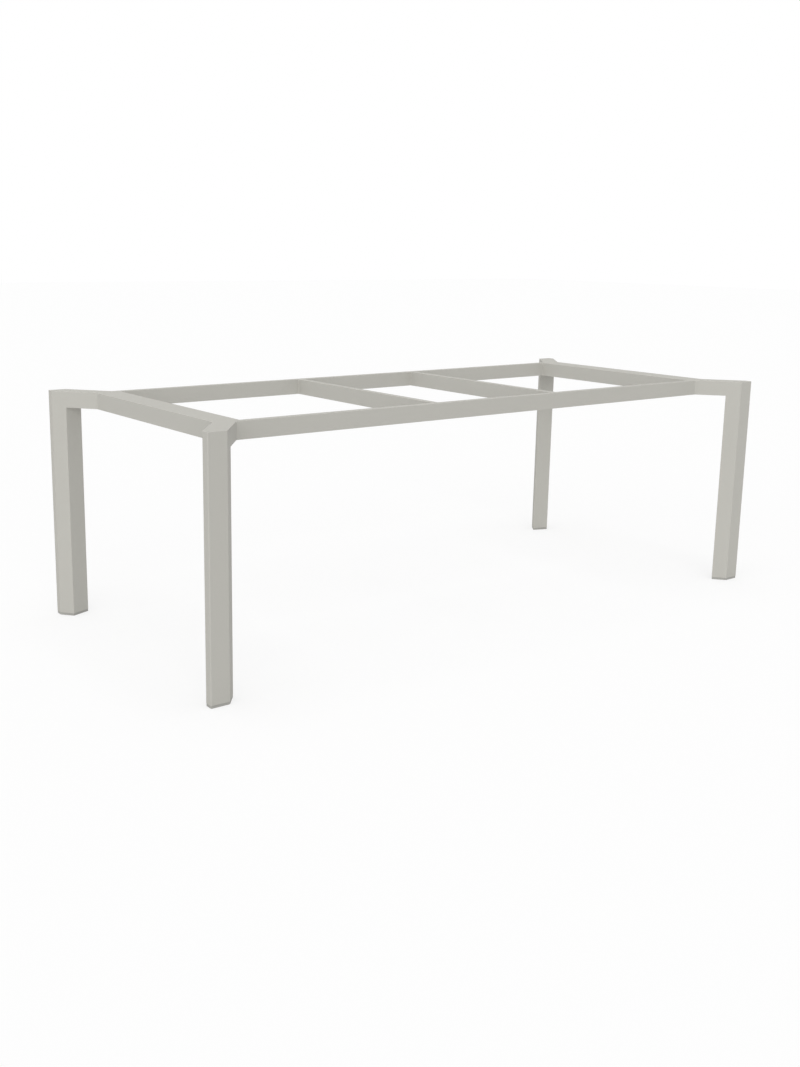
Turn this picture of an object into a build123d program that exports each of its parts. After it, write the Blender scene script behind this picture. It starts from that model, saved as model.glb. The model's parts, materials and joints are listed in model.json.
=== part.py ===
from build123d import *
import math
import os

# A welded table frame without its top, on four legs that stand outside the frame's corners.
# X runs along the table, Y across it and Z up. The origin is on the floor below the middle.
# Lengths are in millimetres and angles in degrees.

# Frame, measured over its outer faces
frame_height = 720.0
frame_length = 2000.0
frame_width = 750.0
rail_height = 50.0

# Rectangular tubes of the frame
slim_tube_width = 20.0
slim_tube_wall = 2.0
wide_tube_width = 80.0
wide_tube_wall = 2.5
tube_edge_radius = 1.0
crossbar_spacing = 494.0

# Oblique arms, turned from the long side of the frame
arm_angle = 51.0
arm_width = 60.0
arm_wall = 3.0

# Five-sided leg tube: how far its outer faces stand beyond the frame, and its own sides
leg_reach_length = 96.0
leg_reach_width = 121.0
leg_end_face = 25.0
leg_front_flank = 51.0
leg_end_flank = 48.0
leg_wall = 3.0
leg_corner_radius = 3.0
leg_heel_radius = 0.6

# Plate that closes a leg
cap_thickness = 4.0
cap_edge_radius = 1.0

# Moulded glide: the sole under the leg and the hollow plug with grip ribs inside it
sole_thickness = 8.0
sole_inset = 0.5
sole_edge_radius = 1.0
plug_length = 24.0
plug_wall = 2.5
plug_clearance = 0.8
rib_count = 3
rib_thickness = 1.5
rib_clearance = 0.1

# Sizes that follow from the ones above
rail_middle_height = frame_height - rail_height / 2
inside_width = frame_width - 2 * slim_tube_width
arm_along = math.cos(math.radians(arm_angle))
arm_across = math.sin(math.radians(arm_angle))
arm_direction = Vector(arm_along, arm_across)
leg_front_face = (arm_width - leg_end_face * arm_along) / arm_across

# Corners of the leg's section at the back right corner of the frame. The nose is the square outer
# corner, the flanks run back from the shoulders in line with the arm's sides, and the arm meets
# the face between the two heels.
nose = Vector(frame_length / 2 + leg_reach_length, frame_width / 2 + leg_reach_width)
front_shoulder = nose - Vector(leg_front_face, 0)
end_shoulder = nose - Vector(0, leg_end_face)
front_heel = front_shoulder - arm_direction * leg_front_flank
end_heel = end_shoulder - arm_direction * leg_end_flank
outer_corners = [nose, front_shoulder, end_shoulder]
heels = [front_heel, end_heel]


def tube_section(width, height, wall):
    """Section of a rectangular tube with rounded outer edges."""
    outside = RectangleRounded(width, height, tube_edge_radius)
    inside = Rectangle(width - 2 * wall, height - 2 * wall)
    return outside - inside


def frame_tube(length, width, wall, run):
    """Tube of the frame, centred on the origin in plan, that runs along the direction given."""
    start = Vector(0, 0, rail_middle_height) - run * (length / 2)
    plane = Plane(origin=start, x_dir=run.cross(Vector(0, 0, 1)), z_dir=run)
    return extrude(plane * tube_section(width, rail_height, wall), length)


def long_rail():
    return frame_tube(frame_length, slim_tube_width, slim_tube_wall, Vector(1, 0, 0))


def end_rail():
    return frame_tube(inside_width, wide_tube_width, wide_tube_wall, Vector(0, 1, 0))


def crossbar():
    return frame_tube(inside_width, slim_tube_width, slim_tube_wall, Vector(0, 1, 0))


def leg_outline(inset=0.0):
    """Sharp five-sided outline of the leg, moved in from its faces by the inset."""
    outline = Polygon(nose, front_shoulder, front_heel, end_heel, end_shoulder, align=None)
    if inset > 0:
        outline = offset(outline, amount=-inset, kind=Kind.INTERSECTION)
    return outline


def round_corners(outline, corners, radius):
    """Round the outline's corners that lie nearest to the points given."""
    picked = [outline.vertices().sort_by_distance(corner)[0] for corner in corners]
    return fillet(picked, radius)


def prism(outline, bottom, top):
    return extrude(Pos(0, 0, bottom) * outline, top - bottom)


def leg():
    """Extruded leg tube, from the glide's sole up to the cap."""
    outline = round_corners(leg_outline(), outer_corners, leg_corner_radius)
    outline = round_corners(outline, heels, leg_heel_radius)
    return prism(outline - leg_outline(leg_wall), sole_thickness, frame_height - cap_thickness)


def leg_cap():
    """Plate over the leg, with its top edges rounded where no arm joins it."""
    outline = round_corners(leg_outline(), outer_corners, leg_corner_radius)
    plate = prism(outline, frame_height - cap_thickness, frame_height)
    heel_middle = (front_heel + end_heel) / 2 + Vector(0, 0, frame_height)
    top_edges = plate.faces().sort_by(Axis.Z)[-1].edges()
    outer_edges = top_edges.sort_by_distance(heel_middle)[1:]
    return fillet(outer_edges, cap_edge_radius)


def arm():
    """Oblique tube, notched round the frame's corner and cut to the leg's inner face."""
    middle = (front_shoulder + end_shoulder) / 2
    length = middle.Y / arm_across
    start = middle - arm_direction * length + Vector(0, 0, rail_middle_height)
    sideways = Vector(arm_across, -arm_along)
    section = tube_section(arm_width, rail_height, arm_wall)
    tube = extrude(Plane(origin=start, x_dir=sideways, z_dir=arm_direction) * section, length)
    heel_line = end_heel - front_heel
    heel_plane = Plane(origin=front_heel, z_dir=Vector(-heel_line.Y, heel_line.X))
    tube = split(tube, bisect_by=heel_plane, keep=Keep.BOTTOM)
    corner_block = Box(frame_length, frame_width, frame_height + rail_height)
    return tube - Pos(0, 0, frame_height) * corner_block


def glide():
    """Sole under the leg with a hollow, ribbed plug that grips the inside of the tube."""
    outline = round_corners(leg_outline(sole_inset), outer_corners, leg_corner_radius)
    sole = prism(outline, 0, sole_thickness)
    sole = fillet(sole.faces().sort_by(Axis.Z)[0].edges(), sole_edge_radius)
    plug_top = sole_thickness + plug_length
    plug_inset = leg_wall + plug_clearance
    plug = prism(leg_outline(plug_inset), sole_thickness, plug_top)
    rib_pitch = plug_length / (rib_count + 1)
    for number in range(1, rib_count + 1):
        rib_middle = sole_thickness + number * rib_pitch
        rib_outline = leg_outline(leg_wall + rib_clearance)
        plug += prism(rib_outline, rib_middle - rib_thickness / 2, rib_middle + rib_thickness / 2)
    plug -= prism(leg_outline(plug_inset + plug_wall), sole_thickness, plug_top)
    return sole + plug


def at_corner(piece, length_side, width_side):
    """Mirror a piece of the back right corner to the corner with the signs given."""
    if length_side < 0:
        piece = mirror(piece, about=Plane.YZ)
    if width_side < 0:
        piece = mirror(piece, about=Plane.XZ)
    return piece


def build():
    """All pieces of the frame by name."""
    long_rail_shift = (frame_width - slim_tube_width) / 2
    end_rail_shift = (frame_length - wide_tube_width) / 2
    corner_pieces = {"leg": leg(), "leg_cap": leg_cap(), "arm": arm(), "glide": glide()}
    pieces = {}
    for width_name, width_side in (("front", -1), ("back", 1)):
        pieces[f"long_rail_{width_name}"] = Pos(0, width_side * long_rail_shift, 0) * long_rail()
        for length_name, length_side in (("left", -1), ("right", 1)):
            for name, piece in corner_pieces.items():
                node = f"{name}_{width_name}_{length_name}"
                pieces[node] = at_corner(piece, length_side, width_side)
    for length_name, length_side in (("left", -1), ("right", 1)):
        pieces[f"end_rail_{length_name}"] = Pos(length_side * end_rail_shift, 0, 0) * end_rail()
        pieces[f"crossbar_{length_name}"] = Pos(length_side * crossbar_spacing / 2, 0, 0) * crossbar()
    return pieces


os.makedirs("parts", exist_ok=True)
for node_name, node_piece in build().items():
    export_step(node_piece.solid(), f"parts/{node_name}.step")
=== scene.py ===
import json
import math

import bmesh
import bpy
from mathutils import Euler, Matrix, Vector


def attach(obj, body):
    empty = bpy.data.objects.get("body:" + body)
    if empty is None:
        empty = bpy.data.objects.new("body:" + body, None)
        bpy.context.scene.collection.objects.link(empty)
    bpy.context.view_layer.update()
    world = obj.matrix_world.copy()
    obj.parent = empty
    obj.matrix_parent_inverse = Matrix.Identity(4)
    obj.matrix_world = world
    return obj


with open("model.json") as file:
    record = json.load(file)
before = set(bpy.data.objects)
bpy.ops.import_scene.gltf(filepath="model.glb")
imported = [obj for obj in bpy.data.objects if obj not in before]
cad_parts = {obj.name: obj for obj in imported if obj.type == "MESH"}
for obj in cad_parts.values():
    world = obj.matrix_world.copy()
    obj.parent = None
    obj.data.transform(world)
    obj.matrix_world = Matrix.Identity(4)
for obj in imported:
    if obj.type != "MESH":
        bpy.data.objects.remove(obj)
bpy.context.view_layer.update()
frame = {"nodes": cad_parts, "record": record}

# Photograph: its size, and the camera worked out from the frame's straight edges
PHOTO_WIDTH = 800
PHOTO_HEIGHT = 1067
FOCAL_PIXELS = 1186.8
AXIS_PIXEL_X = 362.7
AXIS_PIXEL_Y = 495.8
CAMERA_PLACE = Vector((-2.518, -3.019, 1.174))
CAMERA_HEADING = math.radians(-36.99)
CAMERA_DIP = math.radians(11.95)
CAMERA_ROLL = math.radians(0.79)
SENSOR = 36.0

# Sizes of the frame that the welds follow, in metres, with plan points at the back right corner
FRAME_TOP = 0.720
RAIL_BOTTOM = 0.670
FRAME_END = 1.000
FRAME_SIDE = 0.375
RAIL_INSIDE = 0.355
END_RAIL_INSIDE = 0.920
CROSSBAR_MIDDLE = 0.247
CROSSBAR_HALF = 0.010
EDGE_RADIUS = 0.001
ARM_ANGLE = math.radians(51.0)
FRONT_SHOULDER = Vector((1.03904, 0.496))
END_SHOULDER = Vector((1.096, 0.471))
FRONT_FLANK = 0.051
END_FLANK = 0.048
HEEL_RADIUS = 0.0006
CAP_BOTTOM = 0.716

# Welds, ground smooth and coated over
ARM_WELD = 0.005
BAR_WELD = 0.002
WELD_ROOT = 0.0013
WELD_SINK = 0.00002
FILL_SINK = 0.00004
ARC_STEPS = 24
EDGE_STEPS = 6
SHARP_ANGLE = math.radians(30.0)

# Powder coat: its linear colour, and its patterns as repeats in a metre with their least and most
COAT_COLOUR = (0.485, 0.476, 0.438)
COAT_GLOSS = 0.2
COAT_CLOUDS = 2.3
COAT_CLOUD_TONE = (0.98, 1.02)
COAT_GRAINS = 1400.0
COAT_GRAIN_TONE = (0.96, 1.04)
# Paler patches along the rounded top and bottom edges: partly thinner coat, partly a painted highlight
COAT_THIN_AND_HIGHLIGHT_PATCHES = 30.0
COAT_THIN_AND_HIGHLIGHT_TONE = (1.0, 1.16)
COAT_RUBS = 14.0
COAT_ROUGHNESS = (0.58, 0.70)
COAT_RIPPLES = 260.0
COAT_RIPPLE_SHARE = 0.6
COAT_BUMPS = 1500.0
COAT_BUMP_HEIGHT = 0.0002
COAT_BUMP_STRENGTH = 0.5

# Moulded plastic of the glides, in the same terms, and how high its scuffs reach
GLIDE_COLOUR = (0.350, 0.345, 0.320)
GLIDE_CLOUDS = 60.0
GLIDE_CLOUD_TONE = (0.94, 1.06)
GLIDE_SCUFF_TOP = 0.004
GLIDE_SCUFF_TONE = 1.12
GLIDE_RUBS = 200.0
GLIDE_ROUGHNESS = (0.45, 0.65)
GLIDE_BUMPS = 1200.0
GLIDE_BUMP_HEIGHT = 0.0001
GLIDE_BUMP_STRENGTH = 0.3

# Floor: its brightness for plain light, and the share of its look that takes shadows
FLOOR_SPAN = 60.0
FLOOR_BOUNCE = 0.75
FLOOR_SHADE = 0.30

# Light levels
SKY_LEVEL = 0.55
BACKDROP_LEVEL = 1.0
FLOOR_GLOW = 0.68
LAMP_ANGLE = math.radians(50.0)
LAMPS = (
    ("key", Vector((-0.55, -0.80, 0.35)), 1.00),
    ("side", Vector((-1.00, -0.15, 0.35)), 0.46),
    ("top", Vector((0.00, 0.00, 1.00)), 1.00),
)

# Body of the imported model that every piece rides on
body = "root"


class Shader:
    """The nodes of a material or world, with short calls for adding and joining them."""

    def __init__(self, owner, output_kind):
        owner.use_nodes = True
        self.tree = owner.node_tree
        self.tree.nodes.clear()
        self.output = self.tree.nodes.new("ShaderNodeOutput" + output_kind)

    def node(self, kind, settings=None, **inputs):
        made = self.tree.nodes.new("ShaderNode" + kind)
        for key, value in (settings or {}).items():
            setattr(made, key, value)
        for key, value in inputs.items():
            self.feed(made, key.replace("_", " "), value)
        return made

    def feed(self, node, socket_name, value):
        socket = node.inputs[socket_name]
        if isinstance(value, bpy.types.NodeSocket):
            self.tree.links.new(value, socket)
        else:
            socket.default_value = value

    def math(self, operation, first, second):
        made = self.node("Math", {"operation": operation})
        for slot, value in enumerate((first, second)):
            if isinstance(value, bpy.types.NodeSocket):
                self.tree.links.new(value, made.inputs[slot])
            else:
                made.inputs[slot].default_value = value
        return made.outputs[0]

    def noise(self, position, scale, detail):
        made = self.node("TexNoise", Scale=scale, Detail=detail)
        self.tree.links.new(position, made.inputs["Vector"])
        return made.outputs["Fac"]

    def spread(self, value, least_and_most):
        """Map a value from 0 to 1 on to a range."""
        least, most = least_and_most
        made = self.node("MapRange", To_Min=least, To_Max=most)
        self.tree.links.new(value, made.inputs["Value"])
        return made.outputs["Result"]

    def edges(self):
        """1 half-way round a rounded top or bottom edge and 0 on level and upright faces."""
        normal = self.node("NewGeometry").outputs["Normal"]
        tilt = self.math("ABSOLUTE", self.node("SeparateXYZ", Vector=normal).outputs["Z"], 0.0)
        apart = self.math("ABSOLUTE", self.math("SUBTRACT", tilt, 0.5), 0.0)
        return self.math("SUBTRACT", 1.0, self.math("MULTIPLY", apart, 2.0))

    def scaled_colour(self, colour, factor):
        made = self.node("VectorMath", {"operation": "SCALE"})
        made.inputs[0].default_value = colour
        self.tree.links.new(factor, made.inputs["Scale"])
        return made.outputs["Vector"]

    def mix(self, factor, none, full):
        """One surface where the factor is 0 and another where it is 1."""
        made = self.node("MixShader", Fac=factor)
        self.tree.links.new(none, made.inputs[1])
        self.tree.links.new(full, made.inputs[2])
        return made.outputs["Shader"]

    def bumps(self, relief, height, strength):
        """Normals of a surface that the relief raises by up to the height."""
        made = self.node("Bump", Height=relief, Distance=height, Strength=strength)
        return made.outputs["Normal"]

    def finish(self, surface):
        self.tree.links.new(surface, self.output.inputs["Surface"])


def grey(level):
    return (level, level, level, 1.0)


def light_path(shader):
    """1 for what the camera sees directly, in a reflection or through glass, and 0 for plain light."""
    path = shader.node("LightPath")
    seen = shader.math("MAXIMUM", path.outputs["Is Camera Ray"], path.outputs["Is Glossy Ray"])
    return shader.math("MAXIMUM", seen, path.outputs["Is Transmission Ray"])


def coat_material():
    """Fine-textured warm grey powder coat, paler along the rounded top and bottom edges, partly for thinner
    coat and partly as a painted highlight.
    """
    material = bpy.data.materials.new("powder_coat")
    shader = Shader(material, "Material")
    place = shader.node("TexCoord").outputs["Object"]
    cloud = shader.spread(shader.noise(place, COAT_CLOUDS, 3.0), COAT_CLOUD_TONE)
    grain = shader.spread(shader.noise(place, COAT_GRAINS, 2.0), COAT_GRAIN_TONE)
    # Painted highlight on the rounded top and bottom edges, also standing for a thinner coat there
    thin_coat_and_highlight = shader.math("MULTIPLY", shader.edges(), shader.noise(place, COAT_THIN_AND_HIGHLIGHT_PATCHES, 3.0))
    mottle = shader.math("MULTIPLY", cloud, grain)
    tone = shader.math("MULTIPLY", mottle, shader.spread(thin_coat_and_highlight, COAT_THIN_AND_HIGHLIGHT_TONE))
    ripple = shader.math("MULTIPLY", shader.noise(place, COAT_RIPPLES, 2.0), COAT_RIPPLE_SHARE)
    relief = shader.math("ADD", shader.noise(place, COAT_BUMPS, 3.0), ripple)
    surface = shader.node(
        "BsdfPrincipled",
        Base_Color=shader.scaled_colour(COAT_COLOUR, tone),
        Roughness=shader.spread(shader.noise(place, COAT_RUBS, 4.0), COAT_ROUGHNESS),
        Normal=shader.bumps(relief, COAT_BUMP_HEIGHT, COAT_BUMP_STRENGTH),
        Specular_IOR_Level=COAT_GLOSS,
    )
    shader.finish(surface.outputs["BSDF"])
    return material


def glide_material():
    """Matt moulded plastic, scuffed a little paler towards the floor."""
    material = bpy.data.materials.new("glide_plastic")
    shader = Shader(material, "Material")
    place = shader.node("TexCoord").outputs["Object"]
    height = shader.node("SeparateXYZ", Vector=place).outputs["Z"]
    cloud = shader.spread(shader.noise(place, GLIDE_CLOUDS, 4.0), GLIDE_CLOUD_TONE)
    scuff = shader.node("MapRange", Value=height, From_Max=GLIDE_SCUFF_TOP, To_Min=GLIDE_SCUFF_TONE)
    tone = shader.math("MULTIPLY", cloud, scuff.outputs["Result"])
    relief = shader.noise(place, GLIDE_BUMPS, 2.0)
    surface = shader.node(
        "BsdfPrincipled",
        Base_Color=shader.scaled_colour(GLIDE_COLOUR, tone),
        Roughness=shader.spread(shader.noise(place, GLIDE_RUBS, 4.0), GLIDE_ROUGHNESS),
        Normal=shader.bumps(relief, GLIDE_BUMP_HEIGHT, GLIDE_BUMP_STRENGTH),
    )
    shader.finish(surface.outputs["BSDF"])
    return material


def floor_material():
    """Pale floor: white to the camera, with the object's shadow in it, and a plain bounce for light."""
    material = bpy.data.materials.new("studio_floor")
    shader = Shader(material, "Material")
    bounce = shader.node("BsdfDiffuse", Color=grey(FLOOR_BOUNCE)).outputs["BSDF"]
    shade = shader.node("BsdfDiffuse", Color=grey(FLOOR_SHADE)).outputs["BSDF"]
    glow = shader.node("Emission", Strength=FLOOR_GLOW).outputs["Emission"]
    seen = shader.node("AddShader")
    shader.tree.links.new(shade, seen.inputs[0])
    shader.tree.links.new(glow, seen.inputs[1])
    shader.finish(shader.mix(light_path(shader), bounce, seen.outputs["Shader"]))
    return material


def set_world():
    """White where the camera looks past the object, and an even sky for light."""
    world = bpy.data.worlds.new("studio")
    bpy.context.scene.world = world
    shader = Shader(world, "World")
    sky = shader.node("Background", Color=grey(1.0), Strength=SKY_LEVEL).outputs["Background"]
    seen = shader.node("Background", Color=grey(1.0), Strength=BACKDROP_LEVEL).outputs["Background"]
    shader.finish(shader.mix(light_path(shader), sky, seen))


def add_floor():
    mesh = bpy.data.meshes.new("studio_floor")
    shape = bmesh.new()
    bmesh.ops.create_grid(shape, x_segments=1, y_segments=1, size=FLOOR_SPAN / 2)
    shape.to_mesh(mesh)
    shape.free()
    mesh.materials.append(floor_material())
    floor = bpy.data.objects.new("studio_floor", mesh)
    bpy.context.scene.collection.objects.link(floor)


def add_lamp(name, direction, strength):
    """Soft distant lamp that shines from the direction given."""
    data = bpy.data.lights.new(name, "SUN")
    data.angle = LAMP_ANGLE
    data.energy = strength
    lamp = bpy.data.objects.new(name, data)
    lamp.rotation_mode = "QUATERNION"
    lamp.rotation_quaternion = direction.to_track_quat("Z", "Y")
    bpy.context.scene.collection.objects.link(lamp)


def add_camera():
    data = bpy.data.cameras.new("photo_camera")
    data.sensor_fit = "AUTO"
    data.sensor_width = SENSOR
    data.lens = FOCAL_PIXELS * SENSOR / PHOTO_HEIGHT
    data.shift_x = (PHOTO_WIDTH / 2 - AXIS_PIXEL_X) / PHOTO_HEIGHT
    data.shift_y = (AXIS_PIXEL_Y - PHOTO_HEIGHT / 2) / PHOTO_HEIGHT
    data.clip_end = FLOOR_SPAN * 2
    camera = bpy.data.objects.new("photo_camera", data)
    turn = Euler((math.pi / 2 - CAMERA_DIP, 0.0, CAMERA_HEADING)).to_matrix().to_4x4()
    roll = Matrix.Rotation(CAMERA_ROLL, 4, "Z")
    camera.matrix_world = Matrix.Translation(CAMERA_PLACE) @ turn @ roll
    bpy.context.scene.collection.objects.link(camera)
    bpy.context.scene.camera = camera


def turned(side_x, side_y, point):
    """Point of the back right corner, mirrored to the corner with the signs given."""
    return Vector((side_x * point[0], side_y * point[1]))


def edge_profile():
    """Heights of a weld from bottom to top, with how far its rounded edges stand back there."""
    steps = [math.pi / 2 * number / EDGE_STEPS for number in range(EDGE_STEPS + 1)]
    rise = [(EDGE_RADIUS * (1 - math.cos(step)), EDGE_RADIUS * (1 - math.sin(step))) for step in steps]
    bottom = RAIL_BOTTOM + WELD_SINK
    top = FRAME_TOP - WELD_SINK
    return [(bottom + up, back) for up, back in rise] + [(top - up, back) for up, back in reversed(rise)]


def add_fillet(shape, root, along_a, along_b, leg):
    """Concave weld between two upright faces that run from the root, as wide as the leg on each."""
    middle = (along_a + along_b).normalized()
    half_angle = along_a.angle(along_b) / 2
    radius = leg * math.tan(half_angle)
    centre = root + middle * (radius / math.sin(half_angle))
    foot_a = root + along_a * leg
    foot_b = root + along_b * leg
    to_a = (foot_a - centre).normalized()
    to_b = (foot_b - centre).normalized()
    sweep = to_a.angle(to_b)
    hub_point = root - middle * (WELD_ROOT / math.sin(half_angle))
    inner = [foot_b + to_b * WELD_ROOT, hub_point, foot_a + to_a * WELD_ROOT]
    rings = []
    for height, back in edge_profile():
        outline = []
        for number in range(ARC_STEPS + 1):
            angle = sweep * number / ARC_STEPS
            spoke = (to_a * math.sin(sweep - angle) + to_b * math.sin(angle)) / math.sin(sweep)
            outline.append(centre + spoke * (radius + back))
        rings.append([shape.verts.new((*point, height)) for point in outline + inner])
    count = len(rings[0])
    for low_ring, high_ring in zip(rings, rings[1:]):
        for number in range(count):
            after = (number + 1) % count
            shape.faces.new((low_ring[number], low_ring[after], high_ring[after], high_ring[number]))
    hub = count - 2
    for ring in (rings[0], rings[-1]):
        for number in range(count - 2):
            shape.faces.new((ring[hub], ring[(hub + number + 1) % count], ring[(hub + number + 2) % count]))


def add_groove_fill(shape, start, end, inward, height, down):
    """Three-sided strip that fills the rounded edge of a rail where another piece meets it."""
    ends = []
    for point in (start, end):
        corner = (*point, height)
        below = (*point, height + down * EDGE_RADIUS)
        inside = (*(point + inward * WELD_ROOT), height)
        ends.append([shape.verts.new(place) for place in (corner, below, inside)])
    add_prism_faces(shape, ends)


def add_heel_fill(shape, heel, along_leg, along_face):
    """Upright strip that fills the rounded corner of the leg beside the arm."""
    inside = heel + (along_leg + along_face) * FILL_SINK
    ends = []
    for height in (RAIL_BOTTOM + EDGE_RADIUS, CAP_BOTTOM + EDGE_RADIUS):
        plan = (inside, inside + along_leg * 2 * HEEL_RADIUS, inside + along_face * 2 * HEEL_RADIUS)
        ends.append([shape.verts.new((*point, height)) for point in plan])
    add_prism_faces(shape, ends)


def add_prism_faces(shape, ends):
    """Join two triangles of corners into a closed strip."""
    first, last = ends
    shape.faces.new(first)
    shape.faces.new(last)
    for number in range(3):
        after = (number + 1) % 3
        shape.faces.new((first[number], first[after], last[after], last[number]))


def finish_weld(shape, name, coat):
    """Make an object of a weld's mesh, coated and riding with the frame."""
    bmesh.ops.recalc_face_normals(shape, faces=shape.faces[:])
    mesh = bpy.data.meshes.new(name)
    shape.to_mesh(mesh)
    shape.free()
    mesh.materials.append(coat)
    mesh.shade_smooth()
    mesh.set_sharp_from_angle(angle=SHARP_ANGLE)
    weld = bpy.data.objects.new(name, mesh)
    bpy.context.scene.collection.objects.link(weld)
    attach(weld, body)


def edge_heights():
    """Top and bottom of the rails, each with the way into the material."""
    return ((FRAME_TOP - FILL_SINK, -1), (RAIL_BOTTOM + FILL_SINK, 1))


def add_arm_weld(name, side_x, side_y, coat):
    """Welds of one arm: to the rails on both its sides, round the notch and at the leg's heels."""
    shape = bmesh.new()
    arm_way = Vector((math.cos(ARM_ANGLE), math.sin(ARM_ANGLE)))
    outward = turned(side_x, side_y, arm_way)
    to_middle = Vector((-side_x, 0.0))
    to_axis = Vector((0.0, -side_y))
    front_root = FRONT_SHOULDER - arm_way * ((FRONT_SHOULDER.y - FRAME_SIDE) / arm_way.y)
    end_root = END_SHOULDER - arm_way * ((END_SHOULDER.x - FRAME_END) / arm_way.x)
    front_heel = FRONT_SHOULDER - arm_way * FRONT_FLANK
    end_heel = END_SHOULDER - arm_way * END_FLANK
    add_fillet(shape, turned(side_x, side_y, front_root), to_middle, outward, ARM_WELD)
    add_fillet(shape, turned(side_x, side_y, end_root), to_axis, outward, ARM_WELD)
    corner = turned(side_x, side_y, (FRAME_END, FRAME_SIDE))
    inside = turned(side_x, side_y, (FRAME_END, RAIL_INSIDE))
    for height, down in edge_heights():
        add_groove_fill(shape, turned(side_x, side_y, front_root), corner, to_axis, height, down)
        add_groove_fill(shape, turned(side_x, side_y, end_root), inside, to_middle, height, down)
    across = turned(side_x, side_y, (end_heel - front_heel).normalized())
    add_heel_fill(shape, turned(side_x, side_y, front_heel), outward, across)
    add_heel_fill(shape, turned(side_x, side_y, end_heel), outward, -across)
    finish_weld(shape, name, coat)


def add_bar_weld(name, low_x, high_x, corners, side_y, coat):
    """Welds between the end of a crossbar or end rail and the inner face of a long rail."""
    shape = bmesh.new()
    to_rail = Vector((0.0, side_y))
    for corner_x, away in corners:
        add_fillet(shape, Vector((corner_x, side_y * RAIL_INSIDE)), Vector((away, 0.0)), -to_rail, BAR_WELD)
    for height, down in edge_heights():
        start = Vector((low_x, side_y * RAIL_INSIDE))
        end = Vector((high_x, side_y * RAIL_INSIDE))
        add_groove_fill(shape, start, end, to_rail, height, down)
    finish_weld(shape, name, coat)


def add_welds(coat):
    """Welds of every arm, end rail and crossbar."""
    for side_y, width_name in ((-1, "front"), (1, "back")):
        for side_x, length_name in ((-1, "left"), (1, "right")):
            add_arm_weld(f"weld_arm_{width_name}_{length_name}", side_x, side_y, coat)
            name = f"weld_end_rail_{width_name}_{length_name}"
            ends = sorted((side_x * END_RAIL_INSIDE, side_x * FRAME_END))
            inner = ((side_x * END_RAIL_INSIDE, -side_x),)
            add_bar_weld(name, *ends, inner, side_y, coat)
            name = f"weld_crossbar_{width_name}_{length_name}"
            low = side_x * CROSSBAR_MIDDLE - CROSSBAR_HALF
            high = side_x * CROSSBAR_MIDDLE + CROSSBAR_HALF
            add_bar_weld(name, low, high, ((low, -1), (high, 1)), side_y, coat)


def dress(materials):
    """Give each CAD node the finish of its slot."""
    for row in frame["record"]["subparts"]:
        node = frame["nodes"][row["node"]]
        node.material_slots[0].material = materials[row["material_slot"]]


finishes = {"coated_metal": coat_material(), "glide_plastic": glide_material()}
dress(finishes)
add_welds(finishes["coated_metal"])
add_floor()
set_world()
for lamp_name, lamp_direction, lamp_strength in LAMPS:
    add_lamp(lamp_name, lamp_direction, lamp_strength)
add_camera()
bpy.context.scene.view_settings.view_transform = "Standard"
